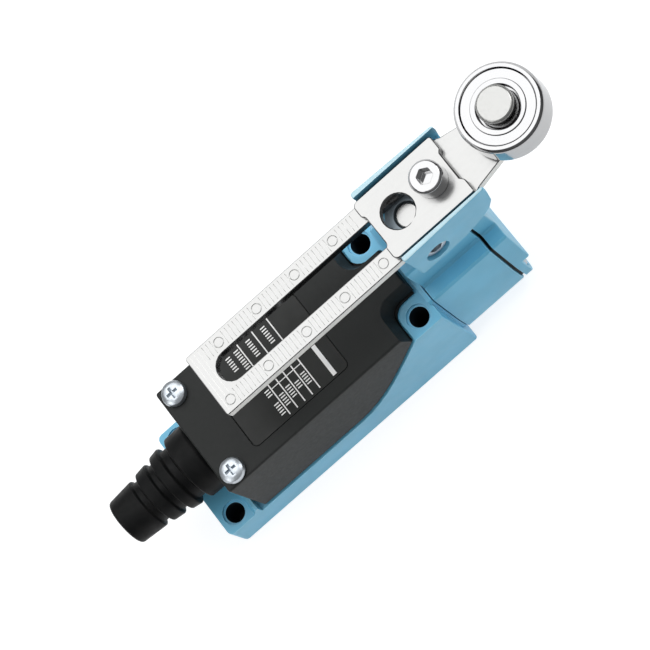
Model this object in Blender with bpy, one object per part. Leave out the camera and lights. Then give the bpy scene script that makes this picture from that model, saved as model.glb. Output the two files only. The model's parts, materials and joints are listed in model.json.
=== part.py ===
"""Limit switch with an adjustable roller lever.

The switch lies on its mounting face at z = 0. +Z points out of the front along the operating
shaft, +Y runs along the body towards the roller and +X is to the right. The origin is the
middle of the four mounting holes. Sizes below are in millimetres; MM turns them into metres.
"""
import math

import bmesh
import bpy
from mathutils import Matrix, Vector

MM = 0.001
WELD = 0.000002                 # metres; joins the doubled points that a boolean leaves

# ---- driving dimensions, millimetres -------------------------------------------------------

GAP = 0.3                       # between pieces that touch on the real switch
RUN = 0.1                       # radial play of a running fit

HOLE_X = 10.0                   # half of the mounting hole pattern
HOLE_Y = 28.5
HOLE_R = 2.15
HOLE_SEAT_R = 2.65
HOLE_SEAT_DEPTH = 0.6

BODY_X = 13.45                  # half width of the housing
BODY_LOW_Y = -32.2
BODY_TOP_Y = 32.2
FLANGE_Z = 8.6                  # height of the lower mounting flange
RIM_Z = 7.7                     # height of the housing's side rim under the cover
BOSS_Z = 23.4                   # height of the upper mounting bosses
BOSS_LOW_Y = 25.0
BOSS_X = 6.2                    # inner side of an upper boss
FLOOR_Z = 2.4                   # thickness of the mounting plate
LIP_LOW_Y = -25.4               # lip between the lower flange and the cover
LIP_Z = 10.4

COVER_X = 13.2
COVER_LOW_Y = -22.6
COVER_TOP_Y = 31.2
COVER_Z = 28.2
COVER_WALL = 1.6
SEAL_T = 0.6                    # cover gasket

LABEL_X = 10.0
LABEL_LOW_Y = -12.9
LABEL_TOP_Y = 12.5
LABEL_DEPTH = 0.5

COVER_SCREW_X = 10.3
COVER_SCREW_Y = -19.2

HEAD_LOW_Y = 33.1
HEAD_SLIT_Y = 47.9              # joint between head and cap
CAP_TOP_Y = 52.3
CAP_LEDGE_Y = 50.3
CAP_LEDGE_Z = 13.0
HEAD_SCREW_X = 8.6
HEAD_SCREW_Z = 7.6
HEAD_SCREW_TIP_Y = 31.0
HEAD_SCREW_SEAT_Y = 49.4        # floor of the pocket that takes a head screw's head
ROOM_X = 6.6                    # room for the cam inside the head
ROOM_LOW_Z = 5.5
ROOM_TOP_Z = 22.0
HEAD_X = 12.4
HEAD_BACK_Z = 2.0
HEAD_FRONT_Z = 24.7
NECK_X = 6.5                    # half width of the raised neck round the shaft
NECK_TOP_Z = 34.9

SHAFT_Y = 41.9                  # axis of the operating shaft
SHAFT_R = 2.75
SHAFT_LOW_Z = 4.2
SHAFT_TOP_Z = 42.9
BUSH_R = 4.5

HOLDER_LOW_Y = 36.3
HOLDER_TOP_Y = 57.0
HOLDER_LOW_X = 9.1              # half widths at the two ends
HOLDER_TOP_X = 8.5
HOLDER_BACK_Z = 36.2
HOLDER_FRONT_Z = 48.5
CHANNEL_X = 7.9
CHANNEL_Z = 43.2

ARM_X = 7.4
ARM_LOW_Y = -9.7
ARM_BACK_Z = 43.5
ARM_FRONT_Z = 45.7
ARM_NECK_Y = 56.0
ARM_SHOULDER_Y = 62.6
ARM_SHOULDER_X = 5.3
LUG_R = 4.9
SLOT_R = 3.2
SLOT_LOW_Y = -3.0
SLOT_TOP_Y = 50.6
ARM_TRAVEL = 50.0

PLATE_X = 7.35
PLATE_LOW_Y = 35.2
PLATE_TOP_Y = 55.4
PLATE_BACK_Z = 45.85
PLATE_FRONT_Z = 47.75
PLATE_HOLE_Y = 41.5
PLATE_HOLE_R = 3.55

CLAMP_Y = 50.2                  # arm clamp screw
CLAMP_HEAD_R = 3.45
CLAMP_HEAD_Z = 52.2
CLAMP_SHANK_R = 1.95
GRIP_Z = 40.6                   # screw that grips the shaft
GRIP_SEAT_X = 5.9

ROLLER_Y = 69.5
ROLLER_R = 9.0
ROLLER_BACK_Z = 47.0
ROLLER_FRONT_Z = 53.9
PIN_R = 3.86
PIN_FRONT_Z = 56.3
ROLLER_BORE_R = 5.6
RECESS_R = 4.45

BOOT_Z = 18.9                   # axis of the cable boot
BOOT_END_Y = -45.6
BOOT_BORE_R = 3.3

PLUNGER_Z = 14.0
PLUNGER_TRAVEL = 1.5

CHAMBER_LOW_Y = 2.0             # contact chamber of the switch unit
CHAMBER_TOP_Y = 18.0
UNIT_X = 9.6
UNIT_LOW_Y = -15.0
UNIT_TOP_Y = 22.4
UNIT_FRONT_Z = 18.0
UNIT_SCREW_X = 6.6
UNIT_SCREW_Y = 20.4
CONTACT_Y = 10.0                # near face of the moving contact at rest
CONTACT_T = 0.8

# ---- materials: colour, roughness, metallic ------------------------------------------------

FINISHES = {
    "blue_paint": ((0.17, 0.44, 0.60), 0.45, 0.0),
    "black_plastic": ((0.030, 0.031, 0.030), 0.55, 0.0),
    "black_rubber": ((0.012, 0.012, 0.012), 0.7, 0.0),
    "plated_steel": ((0.78, 0.78, 0.77), 0.25, 1.0),
    "chrome": ((0.82, 0.82, 0.83), 0.08, 1.0),
    "zinc_screw": ((0.70, 0.72, 0.75), 0.22, 1.0),
    "bronze": ((0.55, 0.36, 0.17), 0.4, 1.0),
    "brass": ((0.70, 0.52, 0.22), 0.35, 1.0),
    "phenolic": ((0.16, 0.075, 0.035), 0.6, 0.0),
    "cream_plastic": ((0.66, 0.62, 0.52), 0.5, 0.0),
    "label_film": ((0.022, 0.023, 0.022), 0.4, 0.0),
    "spring_steel": ((0.55, 0.55, 0.56), 0.3, 1.0),
}


def material(finish):
    """Return the named material, made on first use."""
    found = bpy.data.materials.get(finish)
    if found:
        return found
    colour, roughness, metallic = FINISHES[finish]
    made = bpy.data.materials.new(finish)
    made.use_nodes = True
    shader = made.node_tree.nodes["Principled BSDF"]
    shader.inputs["Base Color"].default_value = (*colour, 1.0)
    shader.inputs["Roughness"].default_value = roughness
    shader.inputs["Metallic"].default_value = metallic
    made.diffuse_color = (*colour, 1.0)
    return made


# ---- outlines ------------------------------------------------------------------------------

def arc(centre, radius, start, end, steps):
    """Points of an arc, angles in degrees."""
    points = []
    for step in range(steps + 1):
        angle = math.radians(start + (end - start) * step / steps)
        points.append((centre[0] + radius * math.cos(angle), centre[1] + radius * math.sin(angle)))
    return points


def rounded(corners, radius, steps=4):
    """Round every corner of a polygon; radius is one number or one for each corner."""
    radii = radius if isinstance(radius, (list, tuple)) else [radius] * len(corners)
    points = []
    for index, corner in enumerate(corners):
        here = Vector(corner)
        before = (Vector(corners[index - 1]) - here).normalized()
        after = (Vector(corners[(index + 1) % len(corners)]) - here).normalized()
        if radii[index] <= 0:
            points.append(tuple(here))
            continue
        half = before.angle(after) / 2
        start = here + before * (radii[index] / math.tan(half))
        end = here + after * (radii[index] / math.tan(half))
        centre = here + (before + after).normalized() * (radii[index] / math.sin(half))
        first = math.atan2(start.y - centre.y, start.x - centre.x)
        last = math.atan2(end.y - centre.y, end.x - centre.x)
        turn = (last - first + math.pi) % (2 * math.pi) - math.pi
        for step in range(steps + 1):
            angle = first + turn * step / steps
            points.append((centre.x + radii[index] * math.cos(angle),
                           centre.y + radii[index] * math.sin(angle)))
    return points


def rectangle(low_u, low_v, high_u, high_v, radius=0.0, steps=4):
    corners = [(low_u, low_v), (high_u, low_v), (high_u, high_v), (low_u, high_v)]
    return rounded(corners, radius, steps) if radius else corners


def capsule(centre_u, low_v, high_v, radius, steps=10):
    """Outline of a slot whose end centres are low_v and high_v."""
    return arc((centre_u, high_v), radius, 0, 180, steps) + arc((centre_u, low_v), radius, 180, 360, steps)


def both_sides(right_half):
    """Close a right-hand outline, listed from the bottom up, with its mirror image."""
    left_half = [(-u, v) for u, v in reversed(right_half) if abs(u) > 1e-6]
    return right_half + left_half


# ---- solids --------------------------------------------------------------------------------

AXES = {
    "Z": Matrix(((1, 0, 0), (0, 1, 0), (0, 0, 1))),      # outline (x, y) along z
    "X": Matrix(((0, 0, 1), (1, 0, 0), (0, 1, 0))),      # outline (y, z) along x
    "Y": Matrix(((1, 0, 0), (0, 0, 1), (0, 1, 0))),      # outline (x, z) along y
}


def new_object(name, build):
    mesh = bpy.data.meshes.new(name)
    bmesh.ops.recalc_face_normals(build, faces=build.faces)
    if build.calc_volume(signed=True) < 0:
        bmesh.ops.reverse_faces(build, faces=build.faces)
    build.to_mesh(mesh)
    build.free()
    made = bpy.data.objects.new(name, mesh)
    bpy.context.scene.collection.objects.link(made)
    return made


def loft(name, low_outline, high_outline, low, high, axis="Z"):
    """Solid between two outlines with the same number of points."""
    build = bmesh.new()
    turn = AXES[axis]
    rings = []
    for outline, height in ((low_outline, low), (high_outline, high)):
        rings.append([build.verts.new(turn @ Vector((u, v, height)) * MM) for u, v in outline])
    count = len(low_outline)
    for index in range(count):
        after = (index + 1) % count
        build.faces.new((rings[0][index], rings[0][after], rings[1][after], rings[1][index]))
    build.faces.new(rings[0])
    build.faces.new(rings[1])
    return new_object(name, build)


def prism(name, outline, low, high, axis="Z"):
    return loft(name, outline, outline, low, high, axis)


def lathe(name, profile, centre, axis="Z", steps=28):
    """Turn a closed (radius, height) profile; heights are world coordinates along the axis."""
    build = bmesh.new()
    verts = [build.verts.new((radius * MM, 0.0, height * MM)) for radius, height in profile]
    edges = [build.edges.new((verts[i], verts[i + 1])) for i in range(len(verts) - 1)]
    if profile[0][0] > 0:
        edges.append(build.edges.new((verts[-1], verts[0])))
    bmesh.ops.spin(build, geom=verts + edges, cent=(0, 0, 0), axis=(0, 0, 1), dvec=(0, 0, 0),
                   angle=2 * math.pi, steps=steps, use_duplicate=False, use_merge=True)
    bmesh.ops.remove_doubles(build, verts=build.verts, dist=0.000001)
    turn = AXES[axis]
    base = turn @ Vector((centre[0], centre[1], 0.0)) * MM
    for vert in build.verts:
        vert.co = turn @ vert.co + base
    return new_object(name, build)


def rod(name, radius, low, high, centre, axis="Z", steps=24, chamfer=0.0):
    """Solid round bar, with its two ends chamfered."""
    profile = [(0.0, low), (radius - chamfer, low)]
    if chamfer:
        profile += [(radius, low + chamfer), (radius, high - chamfer)]
    profile += [(radius - chamfer, high), (0.0, high)]
    return lathe(name, profile, centre, axis, steps)


def tube(name, inner, outer, low, high, centre, axis="Z", steps=24):
    return lathe(name, [(inner, low), (outer, low), (outer, high), (inner, high)], centre, axis, steps)


def coil(name, radius, wire_r, low, high, turns, centre, axis="Y", steps=14, sides=6):
    """Helical spring of round wire with closed ends."""
    build = bmesh.new()
    turn = AXES[axis]
    base = turn @ Vector((centre[0], centre[1], 0.0))
    count = int(turns * steps)
    rings = []
    for index in range(count + 1):
        angle = 2 * math.pi * index / steps
        height = low + wire_r + (high - low - 2 * wire_r) * index / count
        out = Vector((math.cos(angle), math.sin(angle), 0.0))
        ring = []
        for side in range(sides):
            around = 2 * math.pi * side / sides
            offset = out * (radius + wire_r * math.cos(around)) + Vector((0, 0, wire_r * math.sin(around)))
            ring.append(build.verts.new((turn @ (offset + Vector((0, 0, height))) + base) * MM))
        rings.append(ring)
    for index in range(count):
        for side in range(sides):
            after = (side + 1) % sides
            build.faces.new((rings[index][side], rings[index][after],
                             rings[index + 1][after], rings[index + 1][side]))
    build.faces.new(rings[0])
    build.faces.new(rings[-1])
    return new_object(name, build)


# ---- joining and cutting -------------------------------------------------------------------

def combine(target, operation, tools):
    """Apply exact booleans and remove the tool objects."""
    for tool in tools:
        step = target.modifiers.new("step", "BOOLEAN")
        step.operation = operation
        step.solver = "EXACT"
        step.object = tool
        bpy.context.view_layer.update()
        evaluated = target.evaluated_get(bpy.context.evaluated_depsgraph_get())
        mesh = bpy.data.meshes.new_from_object(evaluated)
        build = bmesh.new()
        build.from_mesh(mesh)
        bmesh.ops.remove_doubles(build, verts=build.verts, dist=WELD)
        build.to_mesh(mesh)
        build.free()
        target.modifiers.clear()
        target.data = mesh
        bpy.data.objects.remove(tool)
    return target


def cut(target, *tools):
    return combine(target, "DIFFERENCE", tools)


def join(target, *tools):
    return combine(target, "UNION", tools)


def keep(target, *tools):
    return combine(target, "INTERSECT", tools)


def soften(target, width, wanted, segments=2):
    """Bevel the edges whose two end points, in millimetres, satisfy wanted."""
    build = bmesh.new()
    build.from_mesh(target.data)
    edges = [edge for edge in build.edges
             if wanted(edge.verts[0].co / MM, edge.verts[1].co / MM)
             and edge.calc_face_angle(0.0) > math.radians(25)]
    bmesh.ops.bevel(build, geom=edges, offset=width * MM, segments=segments, profile=0.5,
                    affect="EDGES", clamp_overlap=True)
    bmesh.ops.remove_doubles(build, verts=build.verts, dist=WELD)
    build.to_mesh(target.data)
    build.free()
    return target


def finish(target, finish_name, parent=None):
    """Give the piece its material, shading and place under its joint's empty."""
    target.data.materials.clear()
    target.data.materials.append(material(finish_name))
    target.data.name = target.name
    if parent:
        origin = parent.matrix_world.translation.copy()
        target.data.transform(Matrix.Translation(-origin))
        target.parent = parent
    target.data.shade_smooth()
    target.data.set_sharp_from_angle(angle=math.radians(30))
    return target


def joint_empty(name, place, parent=None):
    made = bpy.data.objects.new(name, None)
    bpy.context.scene.collection.objects.link(made)
    made.empty_display_size = 0.005
    here = Vector(place) * MM
    if parent:
        made.parent = parent
        here -= parent.matrix_world.translation
    made.location = here
    bpy.context.view_layer.update()
    return made


# ---- shared shapes -------------------------------------------------------------------------

def rim_curve(lift=0.0, steps=8):
    """Side view (y, z) of the joint between housing and cover, from the bottom end up."""
    start_y = 4.0
    points = [(COVER_LOW_Y - 1.2, RIM_Z + lift)]
    for step in range(steps + 1):
        t = step / steps
        ease = t * t * (1.6 - 0.6 * t)
        points.append((start_y + (BOSS_LOW_Y - start_y) * t, RIM_Z + lift + (BOSS_Z - RIM_Z) * ease))
    return points


def head_profile(inset=0.0, with_neck=True):
    """Outline (x, z) of the head: rounded back, drafted sides, flat front and straight neck."""
    side = HEAD_X - inset
    top = HEAD_FRONT_Z - inset
    back = arc((side - 5.0, HEAD_BACK_Z + 5.0 + inset), 5.0, -90, 0, 6)
    front = [(side - 0.1, 12.0), (side - 1.3, 19.3), (side - 2.2, top - 0.5), (side - 2.7, top)]
    if with_neck:
        neck = NECK_X - inset
        neck_top = NECK_TOP_Z - inset
        front += [(neck + 0.5, top), (neck, top + 0.6), (neck - 0.2, neck_top - 0.5),
                  (neck - 0.7, neck_top)]
    return both_sides([(0.0, HEAD_BACK_Z + inset)] + back + front)


def boss_outline(side, grow, top_y):
    """Plan of one upper boss, grown by some millimetres to the inside and below."""
    corners = [(side * (BOSS_X - grow), top_y), (side * (BOSS_X - grow), BOSS_LOW_Y - grow),
               (side * (BODY_X + 1.0), BOSS_LOW_Y - grow), (side * (BODY_X + 1.0), top_y)]
    return rounded(corners, [0.0, 3.3, 0.0, 0.0], 6)


def cover_plan(inset=0.0):
    """Plan of the cover without the boss cut-outs."""
    return rounded([(-COVER_X + inset, COVER_LOW_Y + inset), (COVER_X - inset, COVER_LOW_Y + inset),
                    (COVER_X - inset, COVER_TOP_Y - inset), (-COVER_X + inset, COVER_TOP_Y - inset)],
                   [0.6, 0.6, 0.0, 0.0], 4)


def cavity_plan(wall):
    """Plan of the inner space, clear of the upper bosses and the two screw posts."""
    side = COVER_X - wall
    low = COVER_LOW_Y + wall
    boss = BOSS_X - wall
    post_x = COVER_SCREW_X - 3.1
    post_y = COVER_SCREW_Y + 3.1
    right = [(post_x, low), (post_x, post_y), (side, post_y), (side, BOSS_LOW_Y - wall),
             (boss, BOSS_LOW_Y - wall), (boss, COVER_TOP_Y - wall)]
    left = [(-x, y) for x, y in reversed(right)]
    return right + left


# ---- enclosure -----------------------------------------------------------------------------

def make_housing():
    plan = rounded([(-BODY_X, BODY_LOW_Y), (BODY_X, BODY_LOW_Y), (BODY_X, BODY_TOP_Y),
                    (-BODY_X, BODY_TOP_Y)], [1.2, 1.2, 0.6, 0.6], 3)
    housing = prism("housing", plan, 0.0, BOSS_Z)
    outline = [(BODY_LOW_Y - 1, -1.0), (BODY_TOP_Y + 1, -1.0), (BODY_TOP_Y + 1, BOSS_Z)]
    outline += list(reversed(rim_curve()))
    outline += [(COVER_LOW_Y - 1.2, LIP_Z), (LIP_LOW_Y + 0.9, LIP_Z), (LIP_LOW_Y, FLANGE_Z),
             (BODY_LOW_Y - 1, FLANGE_Z)]
    keep(housing, prism("side", outline, -BODY_X - 1, BODY_X + 1, "X"))
    cut(housing, prism("cavity", cavity_plan(COVER_WALL + 0.5), FLOOR_Z, BOSS_Z + 1))
    pedestal = head_profile(0.3, with_neck=False)
    join(housing, prism("pedestal", pedestal, BODY_TOP_Y - 0.4, HEAD_LOW_Y - GAP, "Y"))
    for side in (-1, 1):
        cut(housing, rod("tap", 1.45, 2.8, RIM_Z + 5, (side * COVER_SCREW_X, COVER_SCREW_Y), steps=16))
        for end, top in ((-1, FLANGE_Z), (1, BOSS_Z)):
            centre = (side * HOLE_X, end * HOLE_Y)
            cut(housing, rod("hole", HOLE_R, -1.0, top + 3, centre))
            cut(housing, rod("seat", HOLE_SEAT_R, top - HOLE_SEAT_DEPTH, top + 3, centre))
        cut(housing, rod("screw_room", 3.3, FLANGE_Z, LIP_Z + 2, (side * HOLE_X, -HOLE_Y)))
        cut(housing, rod("unit_tap", 1.45, 1.0, FLOOR_Z + 1, (side * UNIT_SCREW_X, UNIT_SCREW_Y), steps=16))
        cut(housing, rod("head_tap", 1.45, HEAD_SCREW_TIP_Y - GAP, HEAD_LOW_Y,
                         (side * HEAD_SCREW_X, HEAD_SCREW_Z), "Y", steps=16))
    cut(housing, rod("plunger_bore", 3.9, COVER_TOP_Y - 3.0, HEAD_LOW_Y + 1, (0.0, PLUNGER_Z), "Y"))
    return finish(housing, "blue_paint")


def cover_block(name, plan, lift, front):
    """Solid above the joint curve, with the two boss cut-outs' sloping walls."""
    block = prism(name, plan, 0.0, front)
    side = rim_curve(lift) + [(BODY_TOP_Y + 2, BOSS_Z + lift), (BODY_TOP_Y + 2, front + 1),
                              (COVER_LOW_Y - 3, front + 1), (COVER_LOW_Y - 3, RIM_Z + lift)]
    return keep(block, prism("side", side, -BODY_X - 1, BODY_X + 1, "X"))


def make_front_cover():
    lift = SEAL_T + 0.3
    cover = cover_block("front_cover", cover_plan(), lift, COVER_Z)
    soften(cover, 0.5, lambda a, b: a.z > COVER_Z - 0.01 and b.z > COVER_Z - 0.01, 2)
    for side in (-1, 1):
        low = boss_outline(side, 0.0, COVER_TOP_Y + 3)
        high = boss_outline(side, 1.9, COVER_TOP_Y + 3)
        cut(cover, loft("boss_room", low, high, BOSS_Z + lift - 2.5, COVER_Z + 0.2))
    cut(cover, prism("cavity", cavity_plan(COVER_WALL), 0.0, COVER_Z - 2.0))
    label = rectangle(-LABEL_X, LABEL_LOW_Y, LABEL_X, LABEL_TOP_Y, 1.3)
    cut(cover, prism("label_room", label, COVER_Z - LABEL_DEPTH, COVER_Z + 1))
    for side in (-1, 1):
        cut(cover, rod("hole", 1.7, 0.0, COVER_Z + 2, (side * COVER_SCREW_X, COVER_SCREW_Y), steps=16))
    cut(cover, rod("boot_room", 5.8, COVER_LOW_Y - 2, COVER_LOW_Y + 3, (0.0, BOOT_Z), "Y", 28))
    return finish(cover, "black_plastic")


def make_cover_gasket():
    gasket = cover_block("cover_gasket", cover_plan(0.35), 0.15, BOSS_Z + SEAL_T + 0.15)
    above = rim_curve(0.15 + SEAL_T) + [(BODY_TOP_Y + 2, BOSS_Z + 0.15 + SEAL_T),
                                       (BODY_TOP_Y + 2, 60.0), (COVER_LOW_Y - 3, 60.0),
                                       (COVER_LOW_Y - 3, RIM_Z + 0.15 + SEAL_T)]
    cut(gasket, prism("above", above, -BODY_X - 1, BODY_X + 1, "X"))
    for side in (-1, 1):
        cut(gasket, prism("boss_room", boss_outline(side, 0.35, COVER_TOP_Y + 3), 0.0, 60.0))
        cut(gasket, rod("hole", 1.7, 0.0, 60.0, (side * COVER_SCREW_X, COVER_SCREW_Y), steps=16))
    cut(gasket, prism("cavity", cavity_plan(COVER_WALL + 0.1), 0.0, 60.0))
    return finish(gasket, "black_rubber")


def make_rating_plate():
    gap = 0.2
    outline = rectangle(-LABEL_X + gap, LABEL_LOW_Y + gap, LABEL_X - gap, LABEL_TOP_Y - gap, 1.1)
    plate = prism("rating_plate", outline, COVER_Z - LABEL_DEPTH + 0.1, COVER_Z - 0.12)
    return finish(plate, "label_film")


def cross_recess(name, top, centre, axis="Z"):
    """Tapered cross-shaped pocket for a screwdriver."""
    half, reach = 0.35, 1.45
    wide = both_sides([(half, -reach), (half, -half), (reach, -half), (reach, half), (half, half),
                       (half, reach)])
    narrow = [(u * 0.55, v * 0.55) for u, v in wide]
    place = [[(u + centre[0], v + centre[1]) for u, v in outline] for outline in (narrow, wide)]
    return loft(name, place[0], place[1], top - 1.1, top + 0.2, axis)


def make_cover_screw(name, side):
    """Pan-head screw through the cover into the housing's post."""
    seat = COVER_Z + 0.1
    profile = [(0.0, 3.4), (1.0, 3.4), (1.3, 3.9), (1.3, seat), (2.65, seat), (2.75, seat + 0.5),
               (2.5, seat + 1.2), (1.8, seat + 1.6), (0.0, seat + 1.75)]
    centre = (side * COVER_SCREW_X, COVER_SCREW_Y)
    screw = lathe(name, profile, centre, steps=24)
    cut(screw, cross_recess("recess", seat + 1.75, centre))
    return finish(screw, "zinc_screw")


def make_cable_boot():
    """Tapered rubber boot: a neck held in the cover's end wall, two ribs and a long end collar."""
    outer = [(7.4, COVER_LOW_Y - 0.3), (7.65, COVER_LOW_Y - 0.9), (7.6, -28.0), (7.3, -28.4),
             (6.1, -28.6), (6.1, -30.3), (7.0, -30.5), (7.25, -30.9), (6.9, -32.7), (6.6, -33.0),
             (5.6, -33.1), (5.6, -34.4), (6.3, -34.6), (6.5, -35.0), (6.2, -37.2), (5.9, -37.5),
             (5.0, -37.6), (5.0, -39.0), (5.6, -39.1), (5.85, -39.5), (5.3, BOOT_END_Y + 0.6),
             (4.9, BOOT_END_Y)]
    inner = [(BOOT_BORE_R, BOOT_END_Y), (BOOT_BORE_R, COVER_LOW_Y + 3.2)]
    neck = [(6.9, COVER_LOW_Y + 3.2), (6.9, COVER_LOW_Y + COVER_WALL + 0.3),
            (5.6, COVER_LOW_Y + COVER_WALL + 0.3), (5.6, COVER_LOW_Y - 0.3)]
    boot = lathe("cable_boot", outer + inner + neck, (0.0, BOOT_Z), "Y", 32)
    return finish(boot, "black_rubber")


# ---- head ----------------------------------------------------------------------------------

def screw_holes(target, radius, low, high):
    """Holes for the two head screws, along Y."""
    for side in (-1, 1):
        centre = (side * HEAD_SCREW_X, HEAD_SCREW_Z)
        cut(target, rod("screw_hole", radius, low, high, centre, "Y", 20))


def head_room(inset):
    """Section of the room for the cam, smaller all round by the inset."""
    return rectangle(-ROOM_X + inset, ROOM_LOW_Z + inset, ROOM_X - inset, ROOM_TOP_Z - inset)


def make_head_block():
    head = prism("head_block", head_profile(), HEAD_LOW_Y, HEAD_SLIT_Y, "Y")
    cut(head, prism("room", head_room(0.0), HEAD_LOW_Y + 1.6, HEAD_SLIT_Y + 1, "Y"))
    cut(head, rod("bush_bore", BUSH_R + 0.05, 20.0, NECK_TOP_Z + 1, (0.0, SHAFT_Y)))
    cut(head, rod("tail_bore", 2.95, 3.8, 7.0, (0.0, SHAFT_Y)))
    cut(head, rod("plunger_bore", 3.9, HEAD_LOW_Y - 1, HEAD_LOW_Y + 3, (0.0, PLUNGER_Z), "Y"))
    screw_holes(head, 1.6, HEAD_LOW_Y - 1, HEAD_SLIT_Y + 1)
    return finish(head, "blue_paint")


def make_head_cap():
    """End of the head, with a ledge at the back and pockets for the screw heads."""
    low = HEAD_SLIT_Y + 0.7
    cap = prism("head_cap", head_profile(), low, CAP_TOP_Y, "Y")
    soften(cap, 0.35, lambda a, b: a.y > CAP_TOP_Y - 0.01 and b.y > CAP_TOP_Y - 0.01)
    cut(cap, prism("ledge", rectangle(-15, -1, 15, CAP_LEDGE_Z), CAP_LEDGE_Y, CAP_TOP_Y + 2, "Y"))
    screw_holes(cap, 1.6, low - 1, CAP_LEDGE_Y + 1)
    screw_holes(cap, 2.9, HEAD_SCREW_SEAT_Y, CAP_LEDGE_Y + 1)
    return finish(cap, "blue_paint")


def make_head_gasket():
    low = HEAD_SLIT_Y + 0.1
    gasket = prism("head_gasket", head_profile(0.5), low, low + 0.5, "Y")
    cut(gasket, prism("room", head_room(0.4), low - 1, low + 1, "Y"))
    screw_holes(gasket, 1.6, low - 1, low + 1)
    return finish(gasket, "black_rubber")


def make_head_screw(name, side):
    """Long screw through cap and head into the housing, with its head in the cap's pocket."""
    seat = HEAD_SCREW_SEAT_Y + 0.1
    profile = [(0.0, HEAD_SCREW_TIP_Y), (0.9, HEAD_SCREW_TIP_Y), (1.25, HEAD_SCREW_TIP_Y + 0.5),
               (1.25, seat), (2.6, seat), (2.7, seat + 0.3), (2.4, seat + 0.9), (1.7, seat + 1.2),
               (0.0, seat + 1.3)]
    centre = (side * HEAD_SCREW_X, HEAD_SCREW_Z)
    screw = lathe(name, profile, centre, "Y", 24)
    cut(screw, cross_recess("recess", seat + 1.3, centre, "Y"))
    return finish(screw, "zinc_screw")


def make_plunger_guide():
    guide = tube("plunger_guide", 2.3, 3.8, COVER_TOP_Y - 2.2, HEAD_LOW_Y + 1.5, (0.0, PLUNGER_Z), "Y")
    return finish(guide, "bronze")


def make_shaft_bush():
    bush = tube("shaft_bush", SHAFT_R + RUN, BUSH_R - 0.05, 22.4, 32.4, (0.0, SHAFT_Y))
    return finish(bush, "bronze")


def make_shaft_seal():
    seal = tube("shaft_seal", SHAFT_R + 2 * RUN, BUSH_R - 0.1, 32.6, NECK_TOP_Z - 0.4, (0.0, SHAFT_Y))
    return finish(seal, "black_rubber")


# ---- switch unit inside the housing --------------------------------------------------------

def terminal_layout():
    """Name, side, screw centre and contact face of the four fixed terminals."""
    closed_face = CONTACT_Y + CONTACT_T + GAP
    open_face = CONTACT_Y - PLUNGER_TRAVEL - GAP - CONTACT_T
    layout = []
    for side, word in ((-1, "left"), (1, "right")):
        layout.append(("closed_terminal_" + word, side, (6.9, -10.0), (5.2, 7.4), closed_face))
        layout.append(("open_terminal_" + word, side, (3.1, -3.2), (1.9, 4.3), open_face))
    return layout


def make_switch_base():
    outline = rectangle(-UNIT_X, UNIT_LOW_Y, UNIT_X, UNIT_TOP_Y, 0.8, 2)
    base = prism("switch_base", outline, FLOOR_Z + GAP, UNIT_FRONT_Z)
    chamber = rectangle(-8.4, CHAMBER_LOW_Y, 8.4, CHAMBER_TOP_Y)
    cut(base, prism("chamber", chamber, 8.0, UNIT_FRONT_Z + 1))
    cut(base, rod("carrier_bore", 1.8, CHAMBER_TOP_Y - 1, UNIT_TOP_Y + 1, (0.0, PLUNGER_Z), "Y", 20))
    for side in (-1, 1):
        place = (side * UNIT_SCREW_X, UNIT_SCREW_Y)
        cut(base, rod("screw_hole", 1.6, 0.0, UNIT_FRONT_Z + 1, place, steps=16))
    for name, side, screw, width, face in terminal_layout():
        cut(base, rod("tap", 1.45, 11.8, UNIT_FRONT_Z + 1, (side * screw[0], screw[1]), steps=16))
    return finish(base, "phenolic")


def make_terminal(name, side, screw, width, face):
    """Brass strip on the base with a tongue bent down into the contact chamber."""
    low, high = UNIT_FRONT_Z + 0.15, UNIT_FRONT_Z + 0.95
    pad = rectangle(side * screw[0] - 1.9, screw[1] - 2.4, side * screw[0] + 1.9, screw[1] + 2.4, 0.4, 2)
    terminal = prism(name, pad, low, high)
    left, right = sorted((side * width[0], side * width[1]))
    strip = rectangle(left, screw[1], right, face + CONTACT_T)
    join(terminal, prism("strip", strip, low, high))
    tongue = rectangle(left, face, right, face + CONTACT_T)
    join(terminal, prism("tongue", tongue, PLUNGER_Z - 1.6, high))
    cut(terminal, rod("hole", 1.45, low - 1, high + 1, (side * screw[0], screw[1]), steps=16))
    return finish(terminal, "brass")


def make_pan_screw(name, centre, tip, seat, head_r):
    profile = [(0.0, tip), (0.9, tip), (1.25, tip + 0.5), (1.25, seat), (head_r, seat),
               (head_r, seat + 0.7), (head_r - 0.7, seat + 1.3), (0.0, seat + 1.5)]
    screw = lathe(name, profile, centre, steps=16)
    slot = rectangle(centre[0] - 3, centre[1] - 0.3, centre[0] + 3, centre[1] + 0.3)
    cut(screw, prism("slot", slot, seat + 0.8, seat + 3))
    return finish(screw, "zinc_screw")


def make_plunger(parent):
    profile = [(0.0, 26.6), (2.0, 26.6), (2.2, 26.8), (2.2, 36.3), (3.8, 36.3), (3.8, 36.9),
               (3.5, 37.1), (0.0, 37.1)]
    return finish(lathe("plunger", profile, (0.0, PLUNGER_Z), "Y", 28), "plated_steel", parent)


def make_spring_seat(parent):
    seat = tube("spring_seat", 2.25, 3.4, 27.6, 28.4, (0.0, PLUNGER_Z), "Y", 24)
    return finish(seat, "zinc_screw", parent)


def make_contact_carrier(parent):
    carrier = rod("contact_carrier", 1.5, 5.0, 26.4, (0.0, PLUNGER_Z), "Y", 20, 0.3)
    return finish(carrier, "cream_plastic", parent)


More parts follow.
